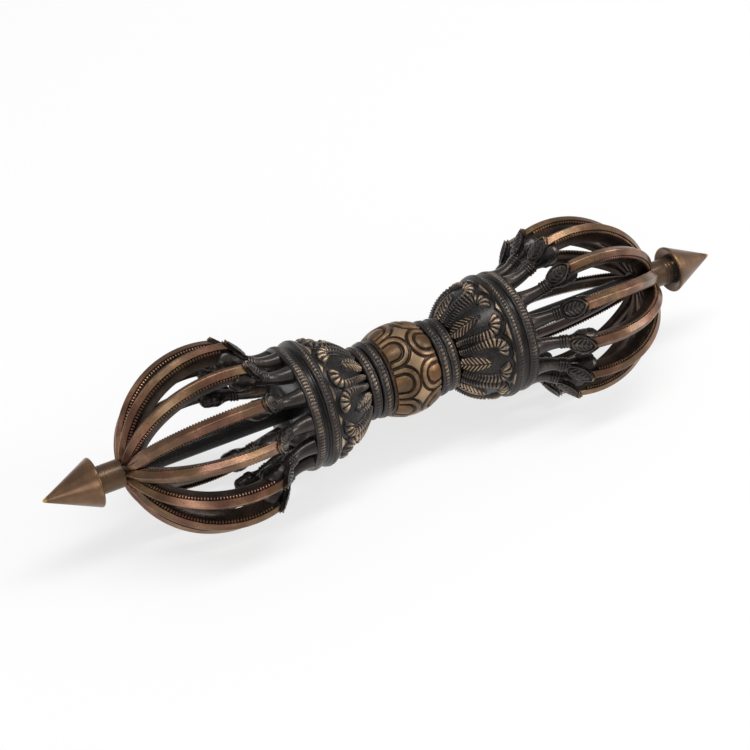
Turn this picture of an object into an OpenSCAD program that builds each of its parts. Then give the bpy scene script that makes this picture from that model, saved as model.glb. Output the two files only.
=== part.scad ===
// Dorje vajra: a brass sceptre whose hub, rings, lotus cups and prong baskets are stacked on one spindle.
// Each end is built along its own +Z, away from the hub, and end() lays it down along the X axis.

/* [Spindle] */
// Radius of the spindle that carries the stack
spindle_r = 3; // [2:0.1:3.4]
// Radius of the reduced spindle end inside each finial
spigot_r = 2.2; // [1.5:0.1:2.8]
// Length of the reduced spindle end
spigot_l = 7; // [4:0.5:9]

/* [Hub] */
// Radius of the hub ball
hub_r = 15.6; // [14:0.1:18]
// Distance from the middle of the ball to the flat that each neck ring seats on
hub_seat = 9; // [7:0.1:11]
// Number of lobes carved around each half of the ball
lobe_count = 8; // [6:1:8]
// Turn of the first lobe away from the top
lobe_phase = 20; // [0:0.5:45]
// Angle of the lobe centres above the ball's equator
lobe_lift = 18.5; // [16:0.5:21]
// Radius of the groove around each lobe
lobe_r = 4; // [3:0.1:4.4]
// Radius of the groove's own round section
lobe_groove_r = 0.5; // [0.2:0.1:0.8]

/* [Neck rings] */
// Length of the ring next to the hub
hub_ring_l = 3.7; // [2.5:0.1:6]
// Outer radius of the ring next to the hub
hub_ring_r = 13.1; // [12.5:0.1:14.5]
// Length of the ring next to the lotus cup
cup_ring_l = 3.8; // [2.5:0.1:6]
// Outer radius of the ring next to the lotus cup
cup_ring_r = 12.6; // [12.2:0.1:14.5]
// Number of beads around a neck ring
neck_bead_count = 44; // [24:2:60]

/* [Lotus cup] */
// Length of the cup
cup_l = 15.9; // [12:0.1:22]
// Radius at the cup's small end
cup_small_r = 11.7; // [9:0.1:12]
// Radius at the cup's mouth
cup_mouth_r = 20.4; // [17:0.1:20.8]
// Number of petals around the cup
petal_count = 7; // [5:1:12]
// Turn of the first petal away from the top
petal_phase = 21.5; // [0:0.5:60]
// Radius of the round groove between petals
petal_groove_r = 0.8; // [0.3:0.1:1.2]

/* [Mouth ring] */
// Length of the beaded ring on the cup's mouth
mouth_ring_l = 4.1; // [2.5:0.1:6]
// Outer radius of the beaded ring
mouth_ring_r = 21.4; // [20.9:0.1:24]
// Number of beads around the ring
mouth_bead_count = 104; // [40:2:120]

/* [Prong plate] */
// Thickness of the plate that holds the prongs
plate_t = 4.8; // [4:0.1:8]
// Outer radius of the plate's milled rim
plate_r = 21; // [20.4:0.1:24]
// Number of mill cuts around the rim
mill_count = 112; // [40:2:120]
// Radius of the circle that the prong sockets lie on
socket_circle_r = 17.6; // [16:0.1:18]
// Depth of a prong socket
socket_depth = 3.4; // [2:0.1:3.6]

/* [Bead section] */
// Depth of the cuts between beads
bead_cut = 0.7; // [0.2:0.1:1]
// Length of the plain rib at each edge of a beaded ring
rib_l = 0.8; // [0.4:0.1:1]

/* [Prong stalk] */
// Number of prongs at each end
prong_count = 13; // [9:1:14]
// Turn of the first prong away from the top
prong_phase = -8.4; // [-20:0.1:20]
// Radius of the round stalk
stalk_r = 2.1; // [1.8:0.1:2.4]
// Radius of the stalk's flared root
root_r = 2.6; // [2.4:0.1:3.2]
// Length of the flared root
root_l = 3.2; // [2:0.1:5]
// Radius of the tenon that fits the socket
tenon_r = 1.5; // [1:0.1:1.7]
// Radius of the stalk's outward bend
stalk_bend_r = 17.5; // [14:0.5:24]
// Angle of the stalk's outward bend
stalk_bend = 29; // [22:0.5:34]
// Radius of the rings on the bracelet
bracelet_ring_r = 0.6; // [0.4:0.1:0.9]
// Spacing of the rings on the bracelet
bracelet_pitch = 1; // [0.8:0.05:1.3]

/* [Prong head] */
// Length of the head
head_l = 19; // [16:0.5:22]
// Greatest radius of the head
head_r = 3.4; // [2.8:0.1:3.8]
// Thickness of the core that joins the crest, the jaw and the blade
core_w = 2.4; // [2:0.1:2.6]
// Length of the leaf crest
leaf_l = 11.6; // [8:0.1:13]
// Width of the leaf crest
leaf_w = 6.2; // [4:0.1:7]
// Thickness of the leaf crest
leaf_t = 1.4; // [0.8:0.1:2]
// Lean of the leaf crest away from the axis
leaf_lean = 48; // [40:0.5:52]
// Radius of the lower jaw's first lobe
jaw_r = 1.9; // [1.6:0.1:2.4]
// Distance of the first lobe along the head
jaw_z = 8; // [7:0.1:9]
// Distance of the lobes' middles below the head's own axis
jaw_drop = 3.8; // [3.4:0.1:4.2]
// Spacing of the two lobes
jaw_pitch = 3.2; // [2.6:0.1:3.6]

/* [Prong blade] */
// Radius of the blade's ridge along its curve
blade_arc_r = 34; // [32:0.1:36]
// Greatest distance of the ridge from the axis
belly_r = 30; // [29:0.1:31]
// Distance from the plate's face to the widest part of the basket
belly_z = 24.6; // [23:0.1:26]
// Depth of the blade from its ridge to its inner edge
blade_depth = 6.4; // [5:0.1:8]
// Width of the gabled back
gable_w = 3.8; // [3:0.1:4.4]
// Height of the gabled back
gable_h = 1.3; // [0.6:0.1:1.6]
// Thickness of the web under the gable
web_w = 2.8; // [2:0.1:3.2]
// Radius of the bead row along each flank
flank_r = 0.6; // [0.3:0.1:0.7]
// Distance of the bead row below the ridge
flank_drop = 2.2; // [1.9:0.1:2.6]

/* [Neck and finial] */
// Radius of the seat under the prong toes
toe_seat_r = 4.1; // [3.8:0.1:4.4]
// Radius of the neck sleeve
sleeve_r = 4.6; // [4.5:0.1:6]
// Length of the neck sleeve
sleeve_l = 8.5; // [5:0.1:14]
// Radius of the finial's rim
finial_r = 8.1; // [6.5:0.1:10]
// Length of the finial
finial_l = 17.5; // [14:0.1:24]
// Radius of the rounded rim
rim_round_r = 1.1; // [0.6:0.1:1.6]
// Radius of the blunt tip
tip_r = 0.9; // [0.5:0.1:1.4]

/* [Fits] */
// Radial clearance of the spindle in its bores
bore_gap = 0.05; // [0.02:0.01:0.2]
// Clearance of a tenon in its socket, around it and under it
socket_gap = 0.05; // [0.02:0.01:0.2]
// Clearance of a prong toe on its seat
toe_gap = 0.1; // [0.05:0.01:0.3]
// Gap between the flat sides of neighbouring prongs
prong_gap = 0.3; // [0.1:0.05:0.6]

/* [Hidden] */
$fn = 64;
SIDES = ["left", "right"];
END_PIECES = ["hub_ring", "cup_ring", "lotus_cup", "mouth_ring", "prong_plate", "neck_sleeve", "finial"];

// Stations along an end, from the middle of the hub outwards
hub_ring_z = hub_seat;
cup_ring_z = hub_ring_z + hub_ring_l;
cup_z = cup_ring_z + cup_ring_l;
mouth_ring_z = cup_z + cup_l;
plate_z = mouth_ring_z + mouth_ring_l;
root_z = plate_z + plate_t;
belly_at = root_z + belly_z;
arc_x = belly_r - blade_arc_r;
sleeve_z = belly_at + sqrt(pow(blade_arc_r, 2) - pow(toe_seat_r - arc_x, 2));
finial_z = sleeve_z + sleeve_l;
spigot_z = finial_z + spigot_l;
bore_r = spindle_r + bore_gap;
sector = 360 / prong_count;
overlap = 0.5;
bracelet_rings = 3;
jaw_lobes = 2;
jaw_shrink = 0.15;
jaw_flat = 0.85;
leaf_share = 0.8;
blade_from = -18;
blade_to = 80;
core_reach = 12;
tip_flat = 0.95;

// Top of the stalk, where the bracelet and the head sit
brace_x = socket_circle_r + stalk_bend_r * (1 - cos(stalk_bend));
brace_z = root_z + stalk_bend_r * sin(stalk_bend);

bright_brass = [0.66, 0.52, 0.30];
dark_patina = [0.20, 0.18, 0.16];
copper_brown = [0.50, 0.34, 0.24];

// Lays an end along the X axis, with its zero angle at the top
module end(side) {
    rotate([0, 0, side == "left" ? 180 : 0]) rotate([180, -90, 0]) children();
}

// Round bar along Z between two heights
module bar(r, z1, z2) {
    translate([0, 0, z1]) cylinder(r = r, h = z2 - z1);
}

// Solid of revolution, bored for the spindle
module bored(z1, z2) {
    difference() {
        children();
        bar(bore_r, z1 - overlap, z2 + overlap);
    }
}

// Ring with beads around its middle and a plain rib at each edge
module beaded_ring(r, l, z, count) {
    rib_r = r - bead_cut / 4;
    translate([0, 0, z]) bored(0, l) union() {
        bar(rib_r, 0, rib_l);
        bar(rib_r, l - rib_l, l);
        intersection() {
            translate([0, 0, rib_l / 2]) linear_extrude(l - rib_l) bead_outline(r, count);
            translate([0, 0, rib_l / 2]) rotate_extrude() barrel_profile(r, l - rib_l);
        }
    }
}

// Star-shaped outline whose notches part the beads
module bead_outline(r, count) {
    step = 180 / count;
    polygon([
        for (i = [0 : 2 * count - 1])
            (r + (i % 2 == 0 ? bead_cut : -bead_cut)) * [cos(i * step), sin(i * step)]
    ]);
}

// Half section of a barrel that rounds the beads across the ring, down to below their notches at its ends
module barrel_profile(r, l) {
    end_drop = 2 * bead_cut;
    bulge = (pow(l / 2, 2) + pow(end_drop, 2)) / (2 * end_drop);
    intersection() {
        union() {
            translate([r - bulge, l / 2]) circle(bulge);
            square([r - bulge, l]);
        }
        square([r, l]);
    }
}

module central_spindle() {
    color(dark_patina) rotate([0, 90, 0]) union() {
        bar(spindle_r, -finial_z, finial_z);
        bar(spigot_r, -spigot_z, spigot_z);
    }
}

// Ball with a ring groove around each lobe, on both halves
module hub_ball() {
    color(bright_brass) rotate([0, 90, 0]) bored(-hub_seat, hub_seat) difference() {
        intersection() {
            sphere(hub_r);
            bar(hub_r, -hub_seat, hub_seat);
        }
        for (half = [-1, 1], i = [0 : lobe_count - 1])
            rotate([0, 90 - half * lobe_lift, lobe_phase + i * 360 / lobe_count])
            translate([0, 0, sqrt(pow(hub_r, 2) - pow(lobe_r, 2))])
            rotate_extrude() translate([lobe_r, 0]) circle(lobe_groove_r);
    }
}

module hub_ring() {
    color(dark_patina) beaded_ring(hub_ring_r, hub_ring_l, hub_ring_z, neck_bead_count);
}

module cup_ring() {
    color(dark_patina) beaded_ring(cup_ring_r, cup_ring_l, cup_ring_z, neck_bead_count);
}

// Round bowl with a round groove down each line between petals
module lotus_cup() {
    centre_z = (pow(cup_mouth_r, 2) + pow(cup_l, 2) - pow(cup_small_r, 2)) / (2 * cup_l);
    bowl_r = norm([cup_small_r, centre_z]);
    groove_past = 6;
    groove_from = atan2(centre_z, cup_small_r) + groove_past;
    color(dark_patina) translate([0, 0, cup_z]) bored(0, cup_l) difference() {
        intersection() {
            translate([0, 0, centre_z]) sphere(bowl_r);
            bar(2 * bowl_r, 0, cup_l);
        }
        for (i = [1 : petal_count]) rotate([90, 0, petal_phase + (i - 0.5) * 360 / petal_count])
            translate([0, centre_z, 0]) rotate([0, 0, -groove_from])
            rotate_extrude(angle = groove_from + groove_past) translate([bowl_r, 0]) circle(petal_groove_r);
    }
}

module mouth_ring() {
    color(dark_patina) beaded_ring(mouth_ring_r, mouth_ring_l, mouth_ring_z, mouth_bead_count);
}

function prong_angle(i) = prong_phase + (i - 1) * sector;

// Repeats a shape at every prong's root
module at_roots() {
    for (i = [1 : prong_count])
        rotate([0, 0, prong_angle(i)]) translate([socket_circle_r, 0, 0]) children();
}

// Plate with a milled rim and, under each prong's root, a boss with its socket
module prong_plate() {
    floor_z = root_z - socket_depth;
    color(dark_patina) difference() {
        union() {
            beaded_ring(plate_r, plate_t, plate_z, mill_count);
            at_roots() bar(root_r, floor_z - overlap, root_z - socket_gap);
        }
        at_roots() bar(tenon_r + socket_gap, floor_z, root_z + overlap);
    }
}

// Turns a shape in the prong's own plane about a point of that plane
module in_plane(x, z) {
    translate([x, 0, z]) rotate([90, 0, 0]) children();
}

// Round stalk that bends outwards from its tenon, with its bracelet
module prong_stalk() {
    translate([socket_circle_r, 0, 0]) bar(tenon_r, root_z - socket_depth + socket_gap, root_z + overlap);
    translate([socket_circle_r, 0, root_z]) cylinder(r1 = root_r, r2 = tenon_r, h = root_l);
    in_plane(socket_circle_r + stalk_bend_r, root_z) rotate([0, 0, 180 - stalk_bend])
        rotate_extrude(angle = stalk_bend) translate([stalk_bend_r, 0]) circle(stalk_r);
    translate([brace_x, 0, brace_z]) rotate([0, stalk_bend, 0]) rotate_extrude() bracelet_profile();
}

// Half section of the small rings around the top of the stalk
module bracelet_profile() {
    bracelet_l = bracelet_rings * bracelet_pitch;
    translate([0, bracelet_pitch / 2 - bracelet_l]) square([stalk_r, bracelet_l]);
    for (i = [1 : bracelet_rings]) translate([stalk_r, (1 - i) * bracelet_pitch]) circle(bracelet_ring_r);
}

// Pointed oval outline
module leaf_outline() {
    side_r = (pow(leaf_l, 2) + pow(leaf_w, 2)) / (4 * leaf_w);
    intersection() {
        translate([side_r - leaf_w / 2, leaf_l / 2]) circle(side_r);
        translate([leaf_w / 2 - side_r, leaf_l / 2]) circle(side_r);
    }
}

// Places in the prong's own plane: seen from the top of the stalk, and along the blade's arc
function in_head(x, z) = [
    brace_x + x * cos(stalk_bend) + z * sin(stalk_bend), brace_z - x * sin(stalk_bend) + z * cos(stalk_bend)
];
function on_blade(r, angle) = [arc_x + r * cos(angle), belly_at + r * sin(angle)];

// Core of the head, drawn through the stalk, the crest, the blade and the jaw lobes
module head_core() {
    lean = leaf_lean - stalk_bend;
    far = leaf_share * leaf_l;
    in_plane(0, 0) linear_extrude(core_w, center = true) polygon([
        in_head(0, 0), in_head(stalk_r + far * sin(lean), bracelet_ring_r + far * cos(lean)),
        on_blade(blade_arc_r - blade_depth / 2, blade_from + core_reach),
        for (i = [jaw_lobes - 1 : -1 : 0]) in_head(-jaw_drop, jaw_z + i * jaw_pitch)
    ]);
}

// Half section of a jaw lobe: a bead with flat sides
module jaw_profile(r) {
    flat = jaw_flat * r;
    intersection() {
        circle(r);
        translate([0, -flat]) square([r, 2 * flat]);
    }
}

// Head that runs on from the stalk, with a leaf crest above and jaw lobes below
module prong_head() {
    lemon_r = (pow(head_l / 2, 2) + pow(head_r, 2)) / (2 * head_r);
    head_core();
    translate([brace_x, 0, brace_z]) rotate([0, stalk_bend, 0]) {
        translate([0, 0, head_l / 2 - stalk_r]) rotate_extrude() intersection() {
            translate([head_r - lemon_r, 0]) circle(lemon_r);
            translate([0, -head_l / 2]) square([head_r, head_l]);
        }
        for (i = [0 : jaw_lobes - 1]) translate([-jaw_drop, 0, jaw_z + i * jaw_pitch])
            rotate([90, 0, 180]) rotate_extrude() jaw_profile(jaw_r * (1 - i * jaw_shrink));
        translate([stalk_r - leaf_t / 2, 0, bracelet_ring_r]) rotate([0, leaf_lean - stalk_bend, 0])
            rotate([90, 0, 90]) linear_extrude(leaf_t) leaf_outline();
    }
}

// Section of a blade: gabled back, bead row on each flank and web
module blade_section() {
    eave = blade_arc_r - gable_h;
    polygon([
        [blade_arc_r - blade_depth, -web_w / 2], [eave, -web_w / 2], [eave, -gable_w / 2], [blade_arc_r, 0],
        [eave, gable_w / 2], [eave, web_w / 2], [blade_arc_r - blade_depth, web_w / 2]
    ]);
    for (side = [-1, 1]) translate([blade_arc_r - flank_drop, side * web_w / 2]) circle(flank_r);
}

// Half the width that a prong may take at a distance from the axis
function sector_half_w(x) = x * tan(sector / 2) - prong_gap / (2 * cos(sector / 2));

// Blade bent along one arc, thinned by its sector and cut flat where its toe meets the seat
module prong_blade() {
    toe_x = toe_seat_r + toe_gap;
    reach = 2 * belly_r;
    intersection() {
        in_plane(arc_x, belly_at) rotate([0, 0, blade_from])
            rotate_extrude(angle = blade_to - blade_from) blade_section();
        translate([0, 0, root_z]) linear_extrude(2 * blade_arc_r) polygon([
            [toe_x, -sector_half_w(toe_x)], [reach, -sector_half_w(reach)],
            [reach, sector_half_w(reach)], [toe_x, sector_half_w(toe_x)]
        ]);
    }
}

module prong(i) {
    rotate([0, 0, prong_angle(i)]) {
        color(dark_patina) union() {
            prong_stalk();
            prong_head();
        }
        color(copper_brown) prong_blade();
    }
}

// Sleeve that closes the basket, with a reduced seat under the prong toes
module neck_sleeve() {
    seat_l = blade_depth + 2 * toe_gap;
    color(bright_brass) bored(sleeve_z - seat_l, finial_z) union() {
        bar(toe_seat_r, sleeve_z - seat_l, finial_z);
        bar(sleeve_r, sleeve_z + toe_gap, finial_z);
    }
}

// Spear point with a rounded rim, bored for the spindle's reduced end
module finial() {
    rim_z = rim_round_r;
    tip_rise = tip_flat * tip_r;
    tip_z = finial_l - tip_rise;
    lean = atan2(finial_r - rim_round_r - tip_r, tip_z - rim_z)
        - asin((rim_round_r - tip_r) / norm([finial_r - rim_round_r - tip_r, tip_z - rim_z]));
    side = [cos(lean), sin(lean)];
    color(copper_brown) translate([0, 0, finial_z]) difference() {
        rotate_extrude() {
            polygon([
                [0, 0], [finial_r - rim_round_r, 0], [finial_r - rim_round_r, rim_z],
                [finial_r - rim_round_r, rim_z] + rim_round_r * side, [0, tip_z] + tip_r * side, [0, tip_z]
            ]);
            translate([finial_r - rim_round_r, rim_z]) circle(rim_round_r);
            translate([0, tip_z]) intersection() {
                circle(tip_r);
                translate([0, -tip_r]) square([tip_r, tip_r + tip_rise]);
            }
        }
        bar(spigot_r + bore_gap, -overlap, spigot_l + bore_gap);
    }
}

central_spindle();
hub_ball();
for (side = SIDES) end(side) {
    hub_ring();
    cup_ring();
    lotus_cup();
    mouth_ring();
    prong_plate();
    neck_sleeve();
    finial();
    for (i = [1 : prong_count]) prong(i);
}
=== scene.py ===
"""Looks of a dorje vajra: carved hub, beaded rings, lotus cups, prong baskets and finials."""

import functools
import math

import bmesh
import bpy
from bpy.props import FloatProperty, FloatVectorProperty, IntProperty, PointerProperty
from mathutils import Matrix, Vector
from mathutils.geometry import interpolate_bezier, intersect_point_line


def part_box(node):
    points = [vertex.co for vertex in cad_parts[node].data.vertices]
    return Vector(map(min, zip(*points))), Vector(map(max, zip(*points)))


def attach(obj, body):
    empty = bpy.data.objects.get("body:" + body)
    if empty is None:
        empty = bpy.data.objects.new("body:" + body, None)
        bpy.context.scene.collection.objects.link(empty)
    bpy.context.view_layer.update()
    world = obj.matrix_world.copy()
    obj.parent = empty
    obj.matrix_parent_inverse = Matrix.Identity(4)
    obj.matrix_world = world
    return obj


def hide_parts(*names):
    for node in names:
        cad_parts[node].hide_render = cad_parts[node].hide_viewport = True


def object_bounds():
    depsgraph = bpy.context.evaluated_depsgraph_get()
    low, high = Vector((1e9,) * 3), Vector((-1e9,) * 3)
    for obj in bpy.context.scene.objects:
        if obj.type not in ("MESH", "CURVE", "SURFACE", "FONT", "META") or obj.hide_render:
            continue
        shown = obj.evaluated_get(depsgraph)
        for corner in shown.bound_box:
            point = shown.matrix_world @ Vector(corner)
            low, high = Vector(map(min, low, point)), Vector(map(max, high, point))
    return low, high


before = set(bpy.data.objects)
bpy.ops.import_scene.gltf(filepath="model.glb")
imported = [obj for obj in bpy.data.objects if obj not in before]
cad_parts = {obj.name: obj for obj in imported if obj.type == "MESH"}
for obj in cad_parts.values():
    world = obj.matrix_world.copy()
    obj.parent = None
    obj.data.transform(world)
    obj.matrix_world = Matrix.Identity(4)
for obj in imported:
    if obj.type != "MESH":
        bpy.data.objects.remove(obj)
CAD_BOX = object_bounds()

bl_info = {
    "name": "Dorje vajra",
    "version": (1, 0, 0),
    "blender": (4, 5, 0),
    "location": "View3D > Sidebar > Vajra",
    "description": "Models and finishes the pieces of a dorje vajra on its construction frame",
    "category": "Add Mesh",
}

MM = 0.001
TURN = 2 * math.pi
SIDES = ("left", "right")
PRONGS = sum(name.startswith("right_prong_") and name[-1].isdigit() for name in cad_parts)
SECTOR = TURN / PRONGS
SEAM = 1e-3 * MM

# An end is modelled along its own Z, away from the hub, with its zero angle along its own X
LAY_DOWN = Matrix(((0, 0, 1, 0), (0, -1, 0, 0), (1, 0, 0, 0), (0, 0, 0, 1)))
END = {"right": LAY_DOWN, "left": Matrix.Rotation(math.pi, 4, "Z") @ LAY_DOWN}


def station(piece):
    """Near end, far end and outer radius of a piece along its end of the vajra"""
    low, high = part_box(f"right_{piece}")
    return low.x, high.x, high.z


HUB_SEAT, HUB_R = (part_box("hub_ball")[1][axis] for axis in (0, 2))
SPINDLE_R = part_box("central_spindle")[1].z


# Sizes and colours

def length(name, description, default):
    """A length property, with its default in millimetres"""
    return FloatProperty(
        name=name, description=description, default=default * MM, min=0, unit="LENGTH", precision=5
    )


def share(name, description, default):
    """A property between none and all"""
    return FloatProperty(name=name, description=description, default=default, min=0, max=1, subtype="FACTOR")


def turn(name, description, default):
    """An angle property, with its default in degrees"""
    return FloatProperty(name=name, description=description, default=math.radians(default), subtype="ANGLE")


def count(name, description, default):
    """A number of repeats"""
    return IntProperty(name=name, description=description, default=default, min=1)


def colour(name, description, default):
    """A linear colour property"""
    return FloatVectorProperty(
        name=name, description=description, default=default, min=0, max=1, subtype="COLOR"
    )


def watts(name, description, default):
    """Power of a light"""
    return FloatProperty(name=name, description=description, default=default, min=0, unit="POWER")


class HubSizes(bpy.types.PropertyGroup):
    """Carving of the hub ball"""

    lobes: count("Lobes", "Lobes around each half of the ball", 8)
    phase: turn("Lobe phase", "Turn of the first lobe from the top", 20)
    boss_r: length("Boss radius", "Half width of a lobe's smooth boss", 2.8)
    groove_w: length("Groove width", "Width of the grooves around the boss and the rim", 0.95)
    rim_w: length("Rim width", "Width of the raised rim around the boss", 1.5)
    wall: length("Groove wall", "Half width of a groove's sloping wall", 0.22)
    groove_depth: length("Groove depth", "Depth of the grooves", 1.0)
    boss_rise: length("Boss rise", "Rise of the boss above the ball", 0.4)
    collar_w: length("Collar width", "Width of the plain collar next to a ring", 1.1)


class RingSizes(bpy.types.PropertyGroup):
    """Beads and flutes of the rings"""

    neck_beads: count("Neck beads", "Beads around a neck ring", 58)
    mouth_beads: count("Mouth beads", "Beads around a mouth ring", 104)
    flutes: count("Flutes", "Flutes around a prong plate", 112)
    bulge: length("Bulge", "Rise of a cord's crown above its edges", 1.15)
    cut: length("Cut depth", "Depth of the cuts between beads", 0.42)
    slant: share("Slant", "Slant of the beads, as a share of their pitch", 0.45)
    row: length("Row", "Spacing of the mesh rows across a ring", 0.13)


class CupSizes(bpy.types.PropertyGroup):
    """Scrolls and leaves of the lotus cups"""

    motifs: count("Motifs", "Motifs around a cup", 7)
    right_phase: turn("Right phase", "Turn of the right cup's first motif from the top", 21.5)
    left_phase: turn("Left phase", "Turn of the left cup's first motif from the top", -18)
    small_r: length("Small radius", "Radius at the small end", 11.7)
    depth: length("Ground depth", "Depth of the ground below the bowl", 1.1)
    scroll_w: length("Scroll width", "Half width of a scroll at its end", 2.2)
    stem_w: length("Stem width", "Half width of a scroll at its start", 1.1)
    scroll_rise: length("Scroll rise", "Rise of the scrolls above the ground", 1.65)
    foot_u: length("Foot offset", "Distance of a scroll's start from the motif's middle", 3.9)
    hook_r: length("Hook radius", "Radius of the scroll's hook", 2.9)
    hook_v: length("Hook height", "Distance of the hook's middle from the small end", 12.6)
    hook_u: length("Hook offset", "Distance of the hook's middle from the motif's middle", 4.1)
    hook_swing: turn("Hook swing", "Angle that the hook turns through", 128)
    hook_shrink: share("Hook shrink", "Loss of the hook's radius over its swing", 0.05)
    rib_pitch: length("Rib pitch", "Spacing of the ribs at the start of a scroll", 0.8)
    rib_growth: share("Rib growth", "Growth of the rib spacing from rib to rib", 0.04)
    rib_depth: length("Rib depth", "Depth of the cuts between ribs", 0.7)
    scoop: length("Scoop", "Width of the scooped ground around a scroll", 1.6)
    flat_v: length("Flat height", "Distance from the small end at which the flats begin to rise", 11)
    lip_v: length("Lip height", "Distance from the small end at which the flats are rubbed", 17.6)
    leaf_l: length("Leaf length", "Length of the lance leaf", 10.8)
    leaf_w: length("Leaf width", "Half width of the lance leaf", 2.9)
    vein_pitch: length("Vein pitch", "Spacing of the lance leaf's veins", 1.35)


class ProngSizes(bpy.types.PropertyGroup):
    """Stalk, head and blade of a prong"""

    phase: turn("Prong phase", "Turn of the first prong from the top", -8.4)
    circle_r: length("Socket circle", "Radius of the circle that the stalks stand on", 17.6)
    root_r: length("Root radius", "Radius of a stalk at the plate", 2.95)
    stalk_r: length("Stalk radius", "Radius of a stalk below its bracelet", 1.95)
    bend_r: length("Bend radius", "Radius of the stalk's outward bend", 17.5)
    bend: turn("Bend", "Angle of the stalk's outward bend", 29)
    straight: length("Straight", "Straight run of the stalk beyond its bend", 2.3)
    ring_r: length("Ring radius", "Roundness of the bracelet's rings", 0.5)
    head_l: length("Head length", "Reach of the head beyond its bracelet", 10.4)
    head_out: length("Head rise", "Outward rise of the head over its length", 3.1)
    head_d: length("Head depth", "Half depth of the head at its cheeks", 3.9)
    head_w: length("Head width", "Half width of the head at its cheeks", 2.95)
    leaf_l: length("Leaf length", "Length of the leaf crest", 10)
    leaf_w: length("Leaf width", "Width of the leaf crest", 6.4)
    leaf_t: length("Leaf thickness", "Thickness of the leaf crest", 1.2)
    leaf_r: length("Leaf place", "Distance of the leaf crest's middle from the axis", 26.3)
    leaf_z: length("Leaf height", "Distance of the leaf crest's middle from the plate's face", 13.2)
    leaf_lean: turn("Leaf lean", "Outward lean of the leaf crest", 50)
    jaw_lean: turn("Jaw lean", "Outward lean of the jaw's lumps", 15)
    arc_r: length("Blade arc", "Radius of the blade's ridge along its curve", 34)
    belly_r: length("Belly radius", "Greatest distance of the ridge from the axis", 30.7)
    belly_z: length("Belly place", "Distance from the plate's face to the widest part of the basket", 24.6)
    gable_w: length("Gable width", "Width of the gabled back", 3.85)
    gable_h: length("Gable height", "Height of the gabled back", 1.25)
    depth: length("Blade depth", "Depth of the blade from its ridge to its inner edge", 6.4)
    web_w: length("Web width", "Thickness of the web under the gabled back", 2.8)
    bead_out: length("Bead reach", "Distance of the bead rows' outer edge from the blade's middle", 2.45)
    bead_drop: length("Bead drop", "Distance of the bead rows below the ridge", 2.2)
    bead_pitch: length("Bead pitch", "Spacing of the beads on a blade's flanks", 0.97)
    toe_r: length("Toe radius", "Distance of the blade's toe from the axis", 4.2)
    gap: length("Blade gap", "Half the gap between two blades near their toes", 0.15)


class NeckSizes(bpy.types.PropertyGroup):
    """Neck sleeve and finial"""

    toe_gap: length("Toe gap", "Gap between the blades' toes and the sleeve's seat", 0.15)
    shoulder_r: length("Shoulder radius", "Radius of the sleeve's rounded shoulder", 0.5)
    mark_depth: length("Mark depth", "Depth of the ring marks on the sleeve", 0.06)
    mark_pitch: length("Mark pitch", "Spacing of the ring marks", 1.1)
    mark_w: length("Mark width", "Half width of a ring mark", 0.25)
    rim_r: length("Rim radius", "Radius of the finial's rounded rim", 0.6)
    dish: length("Dish", "Depth of the finial's dished back", 1.0)
    tip_r: length("Tip radius", "Radius of the finial's blunt tip", 0.55)


class FinishColours(bpy.types.PropertyGroup):
    """Colours of the metal"""

    patina: colour("Dark patina", "Body of the rings, cups, plates and stalks", (0.042, 0.0335, 0.03))
    grime: colour("Grime", "Deepest cuts", (0.008, 0.0066, 0.006))
    rubbed: colour("Rubbed brass", "High spots of the dark pieces", (0.42, 0.295, 0.185))
    ball_grime: colour("Ball grime", "Grooves of the hub ball", (0.026, 0.015, 0.01))
    ball: colour("Ball brass", "Smooth face of the hub ball", (0.12, 0.069, 0.032))
    ball_warm: colour("Warm ball", "Browner patches of the hub ball", (0.13, 0.056, 0.016))
    ball_worn: colour("Worn ball", "Rubbed rims of the hub ball", (0.32, 0.208, 0.12))
    blade: colour("Blade copper", "Backs of the prong blades", (0.158, 0.07, 0.041))
    blade_worn: colour("Worn blade", "Rubbed ridges of the prong blades", (0.4, 0.23, 0.14))
    blade_warm: colour("Olive blade", "Olive patches of the prong blades", (0.155, 0.09, 0.041))
    finial: colour("Finial brown", "Cones of the finials", (0.138, 0.074, 0.038))
    finial_worn: colour("Worn finial", "Rubbed tip and rim of the finials", (0.62, 0.40, 0.13))
    sleeve: colour("Sleeve brown", "Neck sleeves", (0.078, 0.043, 0.021))
    floor: colour("Floor", "Pale floor under the vajra", (0.9, 0.9, 0.9))


class StageSizes(bpy.types.PropertyGroup):
    """Camera, lights and floor"""

    azimuth: turn("Azimuth", "Direction that the camera looks from", -29.2)
    elevation: turn("Elevation", "Height of the camera above the horizon", 41.5)
    distance: length("Distance", "Distance of the camera from the hub", 618.8)
    aside: length("Aside", "Shift of the camera to the left", 8.1)
    below: length("Below", "Shift of the camera downwards", 1.9)
    lens: FloatProperty(name="Lens", description="Focal length", default=90.6, min=1, unit="CAMERA")
    key: watts("Key light", "Power of the overhead light", 16)
    fill: watts("Fill light", "Power of the side light", 6.5)
    front: watts("Front light", "Power of the front light", 2.2)
    ambient: share("Ambient", "Strength of the surrounding light", 0.45)
    floor_w: length("Floor width", "Half width of the floor", 40000)
    floor_glow: share("Floor glow", "Share of white in the floor, as the camera and mirrors see it", 0.7)


class VajraSettings(bpy.types.PropertyGroup):
    """All settings of the vajra"""

    hub: PointerProperty(type=HubSizes)
    rings: PointerProperty(type=RingSizes)
    cups: PointerProperty(type=CupSizes)
    prongs: PointerProperty(type=ProngSizes)
    neck: PointerProperty(type=NeckSizes)
    colours: PointerProperty(type=FinishColours)
    stage: PointerProperty(type=StageSizes)


# Shaping helpers

def ramp(low, high, value):
    """Smooth step from 0 at low to 1 at high"""
    t = min(max((value - low) / (high - low), 0), 1)
    return t * t * (3 - 2 * t)


def dome(x):
    """Height of a unit half round at x"""
    return math.sqrt(max(1 - x * x, 0))


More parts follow.
